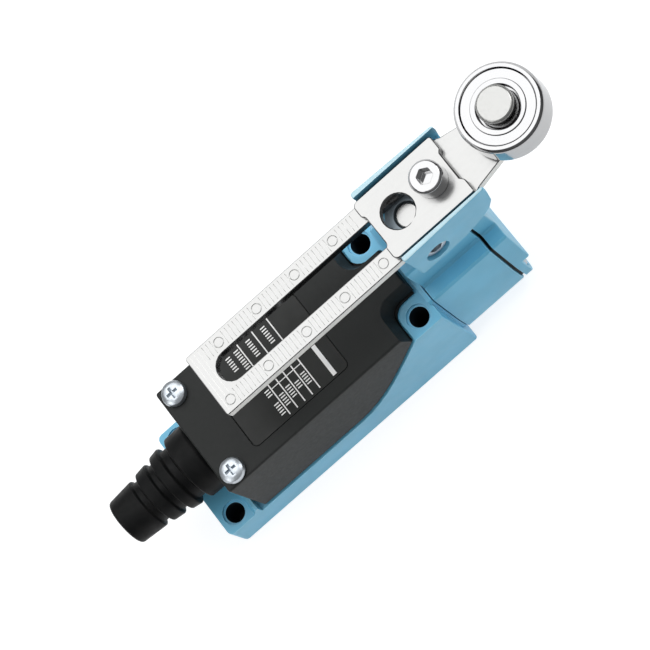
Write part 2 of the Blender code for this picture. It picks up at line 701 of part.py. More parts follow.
def make_moving_contact(parent):
    outline = rectangle(-7.4, PLUNGER_Z - 1.5, 7.4, PLUNGER_Z + 1.5, 0.6, 2)
    bridge = prism("moving_contact", outline, CONTACT_Y, CONTACT_Y + CONTACT_T, "Y")
    join(bridge, rod("hub", 2.4, CONTACT_Y, CONTACT_Y + CONTACT_T, (0.0, PLUNGER_Z), "Y", 20))
    cut(bridge, rod("hole", 1.6, CONTACT_Y - 1, CONTACT_Y + 2, (0.0, PLUNGER_Z), "Y", 20))
    return finish(bridge, "brass", parent)


def make_contact_spring(parent):
    low = CONTACT_Y + CONTACT_T + 0.1
    spring = coil("contact_spring", 2.1, 0.25, low, low + 4.4, 5, (0.0, PLUNGER_Z))
    return finish(spring, "spring_steel", parent)


def make_return_spring():
    """Plunger return spring, drawn at its compressed length."""
    spring = coil("return_spring", 2.8, 0.3, UNIT_TOP_Y + 0.1, 25.9, 4, (0.0, PLUNGER_Z), steps=18)
    return finish(spring, "spring_steel")


# ---- lever ---------------------------------------------------------------------------------

def make_operating_shaft(parent):
    shaft = rod("operating_shaft", SHAFT_R, SHAFT_LOW_Z, SHAFT_TOP_Z, (0.0, SHAFT_Y), steps=36, chamfer=0.4)
    return finish(shaft, "plated_steel", parent)


def make_shaft_ring(parent):
    ring = tube("shaft_retaining_ring", SHAFT_R + 0.05, 4.1, 19.4, 20.2, (0.0, SHAFT_Y), steps=24)
    return finish(ring, "spring_steel", parent)


def make_cam(parent):
    """Two-way cam: a disc with a flat that faces the plunger at rest."""
    radius, flat = 4.6, 3.6
    open_half = math.degrees(math.acos(flat / radius))
    outline = arc((0.0, SHAFT_Y), radius, -90 + open_half, 270 - open_half, 24)
    cam = prism("cam", outline, 10.0, 18.0)
    cut(cam, rod("bore", SHAFT_R + 0.05, 9.0, 19.0, (0.0, SHAFT_Y), steps=28))
    return finish(cam, "plated_steel", parent)


def make_lever_holder(parent):
    """Painted channel that grips the shaft below and guides the arm between its two walls."""
    plan = rounded([(-HOLDER_LOW_X, HOLDER_LOW_Y), (HOLDER_LOW_X, HOLDER_LOW_Y),
                    (HOLDER_TOP_X, HOLDER_TOP_Y), (-HOLDER_TOP_X, HOLDER_TOP_Y)], 0.5, 2)
    holder = prism("lever_holder", plan, HOLDER_BACK_Z - 1, HOLDER_FRONT_Z)
    side = [(HOLDER_LOW_Y - 1, HOLDER_BACK_Z + 0.8), (47.4, HOLDER_BACK_Z), (53.2, HOLDER_BACK_Z + 1.7),
            (54.9, HOLDER_BACK_Z + 3.0), (56.2, HOLDER_BACK_Z + 5.2), (HOLDER_TOP_Y, HOLDER_FRONT_Z - 2.0),
            (HOLDER_TOP_Y, HOLDER_FRONT_Z + 1), (HOLDER_LOW_Y - 1, HOLDER_FRONT_Z + 1)]
    keep(holder, prism("side", side, -12.0, 12.0, "X"))
    soften(holder, 0.35, lambda a, b: a.z > HOLDER_FRONT_Z - 0.01 and b.z > HOLDER_FRONT_Z - 0.01, 2)
    cut(holder, prism("channel", rectangle(-CHANNEL_X, 30, CHANNEL_X, 60), CHANNEL_Z, 50.0))
    cut(holder, rod("shaft_bore", SHAFT_R + 0.05, 30.0, 45.0, (0.0, SHAFT_Y), steps=28))
    cut(holder, rod("clamp_tap", CLAMP_SHANK_R + RUN, 37.8, 45.0, (0.0, CLAMP_Y), steps=20))
    cut(holder, rod("grip_tap", 1.8, 1.0, 12.0, (SHAFT_Y, GRIP_Z), "X", 20))
    cut(holder, rod("grip_seat", 2.75, GRIP_SEAT_X, 12.0, (SHAFT_Y, GRIP_Z), "X", 28))
    return finish(holder, "blue_paint", parent)


def hexagon(radius, centre):
    return arc(centre, radius, 0, 300, 5)


def make_grip_screw(parent):
    """Socket screw that grips the holder on the shaft, sunk in the holder's right side."""
    profile = [(0.0, 3.1), (1.3, 3.1), (1.7, 3.5), (1.7, GRIP_SEAT_X + 0.1), (2.6, GRIP_SEAT_X + 0.1),
               (2.6, GRIP_SEAT_X + 2.0), (2.3, GRIP_SEAT_X + 2.3), (0.0, GRIP_SEAT_X + 2.3)]
    screw = lathe("holder_grip_screw", profile, (SHAFT_Y, GRIP_Z), "X", 24)
    socket = hexagon(1.45, (SHAFT_Y, GRIP_Z))
    cut(screw, prism("socket", socket, GRIP_SEAT_X + 0.8, GRIP_SEAT_X + 4, "X"))
    return finish(screw, "plated_steel", parent)


def make_clamp_plate(parent):
    """Pressed plate over the arm; both ends have a slightly set-back middle stretch."""
    step = 0.6
    tab_x = 3.8
    right = [(tab_x - 0.3, PLATE_LOW_Y + step), (tab_x + 0.3, PLATE_LOW_Y)]
    right += arc((PLATE_X - 1.2, PLATE_LOW_Y + 1.2), 1.2, -90, 0, 4)
    right += arc((PLATE_X - 0.6, PLATE_TOP_Y - 0.6), 0.6, 0, 90, 3)
    right += [(tab_x + 0.3, PLATE_TOP_Y), (tab_x - 0.3, PLATE_TOP_Y - step)]
    plate = prism("clamp_plate", both_sides(right), PLATE_BACK_Z, PLATE_FRONT_Z)
    cut(plate, rod("window", PLATE_HOLE_R, 40.0, 50.0, (0.0, PLATE_HOLE_Y), steps=28))
    cut(plate, rod("screw_hole", CLAMP_SHANK_R + 0.25, 40.0, 50.0, (0.0, CLAMP_Y), steps=24))
    return finish(plate, "plated_steel", parent)


def make_arm_clamp_screw(parent):
    """Socket cap screw through plate and slot into the holder."""
    seat = PLATE_FRONT_Z + 0.1
    tip = 38.2
    profile = [(0.0, tip), (CLAMP_SHANK_R - 0.5, tip), (CLAMP_SHANK_R, tip + 0.5), (CLAMP_SHANK_R, seat),
               (CLAMP_HEAD_R, seat), (CLAMP_HEAD_R, CLAMP_HEAD_Z - 0.45),
               (CLAMP_HEAD_R - 0.45, CLAMP_HEAD_Z), (0.0, CLAMP_HEAD_Z)]
    screw = lathe("arm_clamp_screw", profile, (0.0, CLAMP_Y), steps=28)
    cut(screw, prism("socket", hexagon(1.75, (0.0, CLAMP_Y)), CLAMP_HEAD_Z - 2.3, CLAMP_HEAD_Z + 1))
    return finish(screw, "plated_steel", parent)


# ---- arm and roller ------------------------------------------------------------------------

def arm_outline():
    right = arc((ARM_X - 0.5, ARM_LOW_Y + 0.5), 0.5, -90, 0, 3)
    right += [(ARM_X, ARM_NECK_Y - 1.5), (ARM_X - 0.9, ARM_NECK_Y + 0.5),
              (ARM_SHOULDER_X, ARM_SHOULDER_Y), (LUG_R, ARM_SHOULDER_Y + 1.4)]
    right += arc((0.0, ROLLER_Y), LUG_R, 0, 90, 8)
    return both_sides(right)


def make_lever_arm(parent):
    arm = prism("lever_arm", arm_outline(), ARM_BACK_Z, ARM_FRONT_Z)
    cut(arm, prism("slot", capsule(0.0, SLOT_LOW_Y, SLOT_TOP_Y, SLOT_R), 40.0, 50.0))
    cut(arm, rod("pin_hole", 2.5, 40.0, 50.0, (0.0, ROLLER_Y), steps=24))
    return finish(arm, "plated_steel", parent)


def make_roller_pin(parent):
    """Shouldered pin riveted through the arm; its broad end stands proud of the roller."""
    profile = [(0.0, ARM_BACK_Z - 1.3), (2.6, ARM_BACK_Z - 1.3), (3.4, ARM_BACK_Z - 0.8),
               (3.4, ARM_BACK_Z - 0.3), (2.4, ARM_BACK_Z - 0.3), (2.4, ARM_FRONT_Z + 0.2),
               (PIN_R, ARM_FRONT_Z + 0.2), (PIN_R, PIN_FRONT_Z - 0.45), (PIN_R - 0.45, PIN_FRONT_Z),
               (0.0, PIN_FRONT_Z)]
    return finish(lathe("roller_pin", profile, (0.0, ROLLER_Y), steps=32), "plated_steel", parent)


def make_roller_washer(parent):
    low, high = ARM_FRONT_Z + 0.2, ROLLER_BACK_Z - 0.2
    washer = tube("roller_washer", PIN_R + RUN, 6.6, low, high, (0.0, ROLLER_Y), steps=28)
    return finish(washer, "plated_steel", parent)


def make_roller(parent):
    """Steel roller with rounded rims and a turned line on its front face."""
    rim = 0.9
    line_r = 7.66
    back = [(ROLLER_BORE_R, ROLLER_BACK_Z)] + arc((ROLLER_R - rim, ROLLER_BACK_Z + rim), rim, -90, 0, 4)
    front = arc((ROLLER_R - rim, ROLLER_FRONT_Z - rim), rim, 0, 90, 4)
    line = [(line_r + 0.12, ROLLER_FRONT_Z), (line_r, ROLLER_FRONT_Z - 0.15),
            (line_r - 0.12, ROLLER_FRONT_Z)]
    profile = back + front + line + [(ROLLER_BORE_R, ROLLER_FRONT_Z)]
    return finish(lathe("roller", profile, (0.0, ROLLER_Y), steps=48), "chrome", parent)


def make_roller_bush(parent):
    """Bush pressed into the roller, with a recess round the pin's end."""
    inner = PIN_R + RUN
    outer = ROLLER_BORE_R - 0.1
    profile = [(inner, ROLLER_BACK_Z + 0.05), (outer, ROLLER_BACK_Z + 0.05), (outer, ROLLER_FRONT_Z - 0.05),
               (RECESS_R, ROLLER_FRONT_Z - 0.05), (RECESS_R, ROLLER_FRONT_Z - 1.7),
               (inner, ROLLER_FRONT_Z - 1.7)]
    return finish(lathe("roller_bush", profile, (0.0, ROLLER_Y), steps=32), "chrome", parent)


# ---- assembly ------------------------------------------------------------------------------

def clear_scene():
    for old in list(bpy.data.objects):
        bpy.data.objects.remove(old)


def make_enclosure():
    make_housing()
    make_front_cover()
    make_cover_gasket()
    make_rating_plate()
    for side, word in ((-1, "left"), (1, "right")):
        make_cover_screw("cover_screw_" + word, side)
        make_head_screw("head_screw_" + word, side)
        make_pan_screw("unit_screw_" + word, (side * UNIT_SCREW_X, UNIT_SCREW_Y), 1.3,
                       UNIT_FRONT_Z + 0.1, 2.3)
    make_cable_boot()
    make_head_block()
    make_head_cap()
    make_head_gasket()
    make_plunger_guide()
    make_shaft_bush()
    make_shaft_seal()


def make_switch_unit(plunger_axis):
    make_switch_base()
    for name, side, screw, width, face in terminal_layout():
        make_terminal(name, side, screw, width, face)
        make_pan_screw(name.replace("terminal", "terminal_screw"), (side * screw[0], screw[1]), 12.1,
                       UNIT_FRONT_Z + 1.05, 2.1)
    make_return_spring()
    make_plunger(plunger_axis)
    make_spring_seat(plunger_axis)
    make_contact_carrier(plunger_axis)
    make_moving_contact(plunger_axis)
    make_contact_spring(plunger_axis)


def make_lever(lever_axis, arm_axis, roller_axis):
    make_operating_shaft(lever_axis)
    make_shaft_ring(lever_axis)
    make_cam(lever_axis)
    make_lever_holder(lever_axis)
    make_grip_screw(lever_axis)
    make_clamp_plate(lever_axis)
    make_arm_clamp_screw(lever_axis)
    make_lever_arm(arm_axis)
    make_roller_pin(arm_axis)
    make_roller_washer(arm_axis)
    make_roller(roller_axis)
    make_roller_bush(roller_axis)


def main():
    clear_scene()
    lever_axis = joint_empty("lever_axis", (0.0, SHAFT_Y, SHAFT_TOP_Z))
    arm_axis = joint_empty("arm_axis", (0.0, CLAMP_Y, ARM_BACK_Z), lever_axis)
    roller_axis = joint_empty("roller_axis", (0.0, ROLLER_Y, ROLLER_BACK_Z), arm_axis)
    plunger_axis = joint_empty("plunger_axis", (0.0, HEAD_LOW_Y, PLUNGER_Z))
    make_enclosure()
    make_switch_unit(plunger_axis)
    make_lever(lever_axis, arm_axis, roller_axis)


main()
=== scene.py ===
"""Looks of the limit switch: fine meshes for its visible pieces, procedural materials,
a pale floor, soft studio light and the camera. Outlines, profiles, widths and grain sizes are in
millimetres; lights and camera are in metres. x, y and z are the frame's, with +z out of the
front and +y towards the roller."""
import json
import math

import bmesh
import bpy
from mathutils import Matrix, Vector


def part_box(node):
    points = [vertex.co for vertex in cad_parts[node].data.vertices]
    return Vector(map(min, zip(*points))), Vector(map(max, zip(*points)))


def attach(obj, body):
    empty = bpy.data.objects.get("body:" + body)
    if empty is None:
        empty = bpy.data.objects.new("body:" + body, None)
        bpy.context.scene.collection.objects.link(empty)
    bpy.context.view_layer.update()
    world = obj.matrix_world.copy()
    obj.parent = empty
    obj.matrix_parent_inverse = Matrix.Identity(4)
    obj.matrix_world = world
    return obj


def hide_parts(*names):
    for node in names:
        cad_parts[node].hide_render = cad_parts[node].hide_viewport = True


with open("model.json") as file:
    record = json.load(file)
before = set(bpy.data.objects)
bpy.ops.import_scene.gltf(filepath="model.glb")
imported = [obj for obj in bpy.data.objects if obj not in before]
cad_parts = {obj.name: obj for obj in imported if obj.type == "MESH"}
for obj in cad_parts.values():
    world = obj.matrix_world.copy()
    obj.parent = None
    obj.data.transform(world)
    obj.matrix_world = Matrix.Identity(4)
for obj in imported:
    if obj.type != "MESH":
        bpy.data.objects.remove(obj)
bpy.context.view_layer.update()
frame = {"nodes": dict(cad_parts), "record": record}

MM = 0.001
NODES = frame["nodes"]


# ---- measures taken from the frame ---------------------------------------------------------

def box_mm(node):
    """Lowest and highest corner of a CAD node, in millimetres."""
    low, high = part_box(node)
    return Vector(low) / MM, Vector(high) / MM


def middle(node):
    low, high = box_mm(node)
    return (low + high) / 2


# ---- mesh helpers --------------------------------------------------------------------------

WELD = 0.000002                  # metres: corners closer than this are one corner
LATHE_WELD = 0.000001
FLAT_ANGLE = 0.6                 # degrees: faces that differ by less are one flat face
CREASE_ANGLE = 28                # degrees: sharper edges are bevelled
STAMPED_ANGLE = 24               # degrees: sharper edges of stamped pieces look sharp
FLAT_FACE_WEIGHT = 90            # how strongly large faces set the normals beside them

# How an outline's (u, v, height) lies in the frame when its height runs along an axis.
TURN = {
    "Z": Matrix(((1, 0, 0), (0, 1, 0), (0, 0, 1))),
    "X": Matrix(((0, 0, 1), (1, 0, 0), (0, 1, 0))),
    "Y": Matrix(((1, 0, 0), (0, 0, 1), (0, 1, 0))),
}


def mesh_object(name, build):
    """Object made from a bmesh, with its faces turned outwards."""
    bmesh.ops.recalc_face_normals(build, faces=build.faces)
    if build.calc_volume(signed=True) < 0:
        bmesh.ops.reverse_faces(build, faces=build.faces)
    mesh = bpy.data.meshes.new(name)
    build.to_mesh(mesh)
    build.free()
    made = bpy.data.objects.new(name, mesh)
    bpy.context.scene.collection.objects.link(made)
    return made


def arc(centre, radius, start, end, steps):
    """Points of an arc, angles in degrees."""
    turn = [math.radians(start + (end - start) * step / steps) for step in range(steps + 1)]
    return [(centre[0] + radius * math.cos(a), centre[1] + radius * math.sin(a)) for a in turn]


def rounded(corners, radii, steps=5):
    """Round the corners of a closed line of (u, v) points; radius 0 keeps a corner."""
    points = []
    count = len(corners)
    for index, corner in enumerate(corners):
        radius = radii[index]
        if radius <= 0:
            points.append(tuple(corner))
            continue
        here = Vector(corner)
        before = (Vector(corners[index - 1]) - here).normalized()
        after = (Vector(corners[(index + 1) % count]) - here).normalized()
        half = before.angle(after) / 2
        reach = radius / math.tan(half)
        centre = here + (before + after).normalized() * (radius / math.sin(half))
        start = here + before * reach - centre
        end = here + after * reach - centre
        first = math.atan2(start.y, start.x)
        turn = (math.atan2(end.y, end.x) - first + math.pi) % (2 * math.pi) - math.pi
        for step in range(steps + 1):
            angle = first + turn * step / steps
            points.append((centre.x + radius * math.cos(angle),
                           centre.y + radius * math.sin(angle)))
    return points


def prism(name, outline, low, high, axis="Z"):
    """Outline drawn out along an axis from low to high."""
    build = bmesh.new()
    turn = TURN[axis]
    floor, roof = [[build.verts.new(turn @ Vector((u, v, height)) * MM) for u, v in outline]
                   for height in (low, high)]
    count = len(outline)
    for index in range(count):
        after = (index + 1) % count
        build.faces.new((floor[index], floor[after], roof[after], roof[index]))
    build.faces.new(floor)
    build.faces.new(roof)
    return mesh_object(name, build)


def lathe(name, profile, centre, axis="Z", steps=96):
    """Turn a closed (radius, height) profile round an axis through centre."""
    build = bmesh.new()
    verts = [build.verts.new((radius * MM, 0.0, height * MM)) for radius, height in profile]
    edges = [build.edges.new((verts[i], verts[i + 1])) for i in range(len(verts) - 1)]
    if profile[0][0] > 0:
        edges.append(build.edges.new((verts[-1], verts[0])))
    bmesh.ops.spin(build, geom=verts + edges, cent=(0, 0, 0), axis=(0, 0, 1), dvec=(0, 0, 0),
                   angle=2 * math.pi, steps=steps, use_duplicate=False, use_merge=True)
    bmesh.ops.remove_doubles(build, verts=build.verts, dist=LATHE_WELD)
    turn = TURN[axis]
    base = turn @ Vector((centre[0], centre[1], 0.0)) * MM
    for vert in build.verts:
        vert.co = turn @ vert.co + base
    return mesh_object(name, build)


def torus(name, centre, radius, wire, height):
    """Ring of round section lying flat at a height, used to engrave a circle."""
    sides = 8
    section = arc((0.0, 0.0), wire, 0, 360 - 360 / sides, sides - 1)
    return lathe(name, [(radius + u, height + v) for u, v in section], centre, "Z", 32)


def bake(target):
    """Replace the mesh by what its modifiers make of it."""
    bpy.context.view_layer.update()
    evaluated = target.evaluated_get(bpy.context.evaluated_depsgraph_get())
    mesh = bpy.data.meshes.new_from_object(evaluated)
    target.modifiers.clear()
    target.data = mesh
    return target


def cut(target, tool):
    """Take a tool's volume away from the target and drop the tool."""
    step = target.modifiers.new("cut", "BOOLEAN")
    step.operation = "DIFFERENCE"
    step.solver = "EXACT"
    step.object = tool
    bake(target)
    bpy.data.objects.remove(tool)


def merge(name, parts):
    """Join several mesh objects into one."""
    build = bmesh.new()
    for part in parts:
        build.from_mesh(part.data)
        bpy.data.objects.remove(part)
    return mesh_object(name, build)


def even_normals(target):
    """Keep large faces flat in the shading, and bake the modifiers so far into the mesh."""
    weights = target.modifiers.new("normals", "WEIGHTED_NORMAL")
    weights.keep_sharp = True
    weights.weight = FLAT_FACE_WEIGHT
    return bake(target)


def round_edges(target, width, segments, clamp=True):
    """Bevel every crease and even out the normals, in the mesh itself."""
    build = bmesh.new()
    build.from_mesh(target.data)
    bmesh.ops.remove_doubles(build, verts=build.verts, dist=WELD)
    bmesh.ops.dissolve_limit(build, angle_limit=math.radians(FLAT_ANGLE), verts=build.verts,
                             edges=build.edges)
    build.to_mesh(target.data)
    build.free()
    bevel = target.modifiers.new("edges", "BEVEL")
    bevel.width = width * MM
    bevel.segments = segments
    bevel.limit_method = "ANGLE"
    bevel.angle_limit = math.radians(CREASE_ANGLE)
    bevel.miter_outer = "MITER_ARC"
    bevel.use_clamp_overlap = clamp
    target.data.shade_smooth()
    return even_normals(target)


def smooth(target, angle):
    """Smooth shading up to an angle in degrees, with large faces kept flat."""
    target.data.shade_smooth()
    target.data.set_sharp_from_angle(angle=math.radians(angle))
    return even_normals(target)


def copy_of(node):
    """Copy of a CAD node to work on; the node itself is never touched."""
    piece = bpy.data.objects.new(node + "_fine", NODES[node].data.copy())
    bpy.context.scene.collection.objects.link(piece)
    return piece


def refined(node, width, segments=3):
    """Copy of a CAD node with rounded edges."""
    return round_edges(copy_of(node), width, segments)


def chamfered(node, width):
    """Copy of a CAD node with a narrow flat chamfer, as on a stamped and plated piece."""
    return smooth(round_edges(copy_of(node), width, 1, clamp=False), STAMPED_ANGLE)


def place(piece, body, finish, slot, nodes=()):
    """Material, body and replaced CAD nodes of a finished piece. The slot argument is not used."""
    piece.data.materials.clear()
    piece.data.materials.append(finish)
    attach(piece, body)
    if nodes:
        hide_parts(*nodes)
    return piece


# ---- node helpers for materials ------------------------------------------------------------

class Finish:
    """Short way to build a procedural Principled material."""

    def __init__(self, name, colour, roughness, metallic=0.0, specular=0.5):
        self.material = bpy.data.materials.new(name)
        self.material.use_nodes = True
        self.tree = self.material.node_tree
        self.shader = self.tree.nodes["Principled BSDF"]
        self.shader.inputs["Base Color"].default_value = (*colour, 1.0)
        self.shader.inputs["Roughness"].default_value = roughness
        self.shader.inputs["Metallic"].default_value = metallic
        self.shader.inputs["Specular IOR Level"].default_value = specular
        self.place = self.tree.nodes.new("ShaderNodeTexCoord").outputs["Object"]

    def node(self, kind, **values):
        made = self.tree.nodes.new(kind)
        for key, value in values.items():
            setattr(made, key, value)
        return made

    def link(self, source, target):
        self.tree.links.new(source, target)

    def stretched(self, scale):
        """Place on the piece, scaled along each axis."""
        mapping = self.node("ShaderNodeMapping")
        mapping.inputs["Scale"].default_value = scale
        self.link(self.place, mapping.inputs["Vector"])
        return mapping.outputs["Vector"]

    def noise(self, size_mm, detail=3.0, stretch=(1, 1, 1), rough=0.55):
        """Noise whose features are about size_mm long."""
        made = self.node("ShaderNodeTexNoise")
        made.inputs["Scale"].default_value = 1.0
        made.inputs["Detail"].default_value = detail
        made.inputs["Roughness"].default_value = rough
        scale = 1.0 / (size_mm * MM)
        self.link(self.stretched([scale * axis for axis in stretch]), made.inputs["Vector"])
        return made.outputs["Fac"]

    def cells(self, size_mm):
        """Distance to the nearest of scattered points about size_mm apart."""
        made = self.node("ShaderNodeTexVoronoi", feature="F1")
        made.inputs["Scale"].default_value = 1.0 / (size_mm * MM)
        self.link(self.place, made.inputs["Vector"])
        return made.outputs["Distance"]

    def spread(self, value, low, high, out_low=0.0, out_high=1.0):
        """Carry the range low to high over to out_low to out_high, and stop there."""
        made = self.node("ShaderNodeMapRange")
        made.inputs["From Min"].default_value = low
        made.inputs["From Max"].default_value = high
        made.inputs["To Min"].default_value = out_low
        made.inputs["To Max"].default_value = out_high
        self.link(value, made.inputs["Value"])
        return made.outputs["Result"]

    def maths(self, operation, first, second):
        """Operation on two values, each a number or a socket."""
        made = self.node("ShaderNodeMath", operation=operation)
        for socket, value in zip(made.inputs, (first, second)):
            if isinstance(value, (int, float)):
                socket.default_value = value
            else:
                self.link(value, socket)
        return made.outputs["Value"]

    def blend(self, amount, first, second):
        """Mix two colours, each a tuple or a socket."""
        made = self.node("ShaderNodeMix", data_type="RGBA")
        self.link(amount, made.inputs["Factor"])
        for socket, value in ((made.inputs["A"], first), (made.inputs["B"], second)):
            if isinstance(value, tuple):
                socket.default_value = (*value, 1.0)
            else:
                self.link(value, socket)
        return made.outputs["Result"]

    def edges(self, width_mm):
        """1 along creases within width_mm, 0 on open faces, whatever the mesh is made of."""
        same, creased = 0.99, 0.85       # how alike the true and the rounded normal are
        rounded_normal = self.node("ShaderNodeBevel", samples=6)
        rounded_normal.inputs["Radius"].default_value = width_mm * MM
        geometry = self.node("ShaderNodeNewGeometry")
        alike = self.node("ShaderNodeVectorMath", operation="DOT_PRODUCT")
        self.link(rounded_normal.outputs["Normal"], alike.inputs[0])
        self.link(geometry.outputs["Normal"], alike.inputs[1])
        return self.spread(alike.outputs["Value"], same, creased)

    def inside(self, x, y, radius, low, high):
        """1 within an upright cylinder given in millimetres, 0 outside."""
        apart = self.node("ShaderNodeSeparateXYZ")
        self.link(self.place, apart.inputs["Vector"])
        across = self.maths("POWER", self.maths("SUBTRACT", apart.outputs["X"], x * MM), 2.0)
        along = self.maths("POWER", self.maths("SUBTRACT", apart.outputs["Y"], y * MM), 2.0)
        near = self.maths("LESS_THAN", self.maths("ADD", across, along), (radius * MM) ** 2)
        above = self.maths("GREATER_THAN", apart.outputs["Z"], low * MM)
        below = self.maths("LESS_THAN", apart.outputs["Z"], high * MM)
        return self.maths("MULTIPLY", near, self.maths("MULTIPLY", above, below))

    def set_colour(self, socket):
        self.link(socket, self.shader.inputs["Base Color"])

    def set_roughness(self, value, low, high):
        """Roughness from low to high over a noise value's usual range."""
        self.link(self.spread(value, 0.3, 0.7, low, high), self.shader.inputs["Roughness"])

    def bump(self, height, strength, depth_mm):
        """Fine relief, laid over any that is there already."""
        made = self.node("ShaderNodeBump")
        made.inputs["Strength"].default_value = strength
        made.inputs["Distance"].default_value = depth_mm * MM
        self.link(height, made.inputs["Height"])
        before = self.shader.inputs["Normal"].links
        if before:
            self.link(before[0].from_socket, made.inputs["Normal"])
        self.link(made.outputs["Normal"], self.shader.inputs["Normal"])


def shade(colour, factor):
    """Colour made darker or lighter."""
    return tuple(min(1.0, channel * factor) for channel in colour)


def blue_paint(name, bare_seat=None):
    """Satin paint on a die casting: slight orange peel, uneven film, and paler edges that are a
    painted highlight.

    bare_seat is (x, y, radius, low z, high z) of a round seat machined bare, in millimetres."""
    colour, pale_edge = (0.168, 0.535, 0.765), (0.50, 0.78, 0.90)
    metal_dark, metal_bright = (0.20, 0.25, 0.28), (0.32, 0.37, 0.41)
    paint = Finish(name, colour, 0.38, 0.0, 0.45)
    film = paint.noise(9.0, 2.0)
    mottled = paint.blend(paint.spread(film, 0.3, 0.7), shade(colour, 0.94), shade(colour, 1.05))
    # painted highlight: the creases blend towards the pale edge colour, broken up by noise
    edge = paint.maths("MULTIPLY", paint.edges(0.30), paint.noise(1.2, 4.0))
    film_colour = paint.blend(paint.spread(edge, 0.1, 0.6, 0.0, 0.55), mottled, pale_edge)
    if bare_seat:
        bare = paint.inside(*bare_seat)
        tool_marks = paint.blend(paint.noise(0.5, 3.0), metal_dark, metal_bright)
        film_colour = paint.blend(bare, film_colour, tool_marks)
        paint.link(paint.maths("MULTIPLY", bare, 0.5), paint.shader.inputs["Metallic"])
    paint.set_colour(film_colour)
    paint.set_roughness(paint.noise(2.5, 3.0), 0.30, 0.42)
    paint.bump(paint.noise(0.55, 2.0), 0.08, 0.03)
    return paint.material


def black_plastic():
    """Moulded cover: spark-eroded fine grain, dust-grey edges."""
    colour, dusty = (0.016, 0.0175, 0.017), (0.12, 0.12, 0.12)
    plastic = Finish("black_plastic", colour, 0.5, 0.0, 0.22)
    tone = plastic.blend(plastic.noise(6.0, 3.0), shade(colour, 0.94), shade(colour, 1.07))
    pale_edge = plastic.spread(plastic.edges(0.20), 0.0, 1.0, 0.0, 0.15)
    plastic.set_colour(plastic.blend(pale_edge, tone, dusty))
    plastic.set_roughness(plastic.noise(0.8, 3.0), 0.46, 0.53)
    plastic.bump(plastic.cells(0.22), 0.22, 0.02)
    plastic.bump(plastic.noise(0.12, 2.0), 0.12, 0.01)
    return plastic.material


def label_film():
    """Black film, a little glossier than the cover."""
    colour = (0.018, 0.019, 0.018)
    film = Finish("label_film", colour, 0.4, 0.0, 0.22)
    film.set_colour(film.blend(film.noise(5.0, 2.0), shade(colour, 0.85), shade(colour, 1.2)))
    film.set_roughness(film.noise(2.0, 2.0), 0.34, 0.44)
    film.bump(film.noise(0.3, 2.0), 0.06, 0.01)
    return film.material


def white_ink():
    """Printed white, slightly uneven."""
    colour = (0.90, 0.90, 0.89)
    ink = Finish("white_ink", colour, 0.55, 0.0, 0.3)
    ink.set_colour(ink.blend(ink.noise(0.6, 3.0), shade(colour, 0.92), shade(colour, 1.03)))
    ink.set_roughness(ink.noise(0.5, 2.0), 0.5, 0.62)
    ink.bump(ink.noise(0.2, 2.0), 0.05, 0.01)
    return ink.material


def black_rubber():
    """Moulded rubber with a faint bloom and a soft sheen."""
    colour, bloomed = (0.003, 0.0034, 0.0036), (0.008, 0.008, 0.008)
    rubber = Finish("black_rubber", colour, 0.45, 0.0, 0.14)
    bloom = rubber.spread(rubber.noise(3.5, 4.0), 0.45, 0.75)
    rubber.set_colour(rubber.blend(bloom, colour, bloomed))
    rubber.set_roughness(rubber.noise(1.5, 3.0), 0.42, 0.58)
    rubber.bump(rubber.noise(0.35, 3.0), 0.10, 0.02)
    rubber.shader.inputs["Sheen Weight"].default_value = 0.02
    rubber.shader.inputs["Sheen Roughness"].default_value = 0.4
    return rubber.material


def metal(name, colour, low, high, grain_mm, stretch, depth, wear):
    """Metal with directional grain, roughness that clouds from low to high, and handling marks."""
    plate = Finish(name, colour, low, 1.0)
    cloud = plate.noise(5.0, 3.0)
    toned = plate.blend(cloud, shade(colour, 0.95), shade(colour, 1.03))
    marks = plate.spread(plate.noise(1.1, 5.0, rough=0.7), 0.56, 0.72, 0.0, wear)
    plate.set_colour(plate.blend(marks, toned, shade(colour, 0.6)))
    grain = plate.noise(grain_mm, 4.0, stretch)
    plate.set_roughness(plate.maths("ADD", plate.maths("MULTIPLY", cloud, 0.5),
                                    plate.maths("MULTIPLY", grain, 0.5)), low, high)
    plate.bump(grain, 0.06, depth)
    return plate.material


def plain(name, colour, roughness, grain_mm, depth):
    """Plain surface without metal's shine, with slight grain and tone."""
    made = Finish(name, colour, roughness, 0.0, 0.4)
    made.set_colour(made.blend(made.noise(3.0, 3.0), shade(colour, 0.85), shade(colour, 1.12)))
    made.set_roughness(made.noise(1.5, 2.0), roughness - 0.06, roughness + 0.08)
    made.bump(made.noise(grain_mm, 3.0), 0.15, depth)
    return made.material


def bare_seat():
    """Round seat in the floor of the lever holder's channel, where the shaft comes through."""
    axis = middle("operating_shaft")
    shaft_end = box_mm("operating_shaft")[1].z
    radius, below, above = 4.6, 1.5, 1.0
    return axis.x, axis.y, radius, shaft_end - below, shaft_end + above


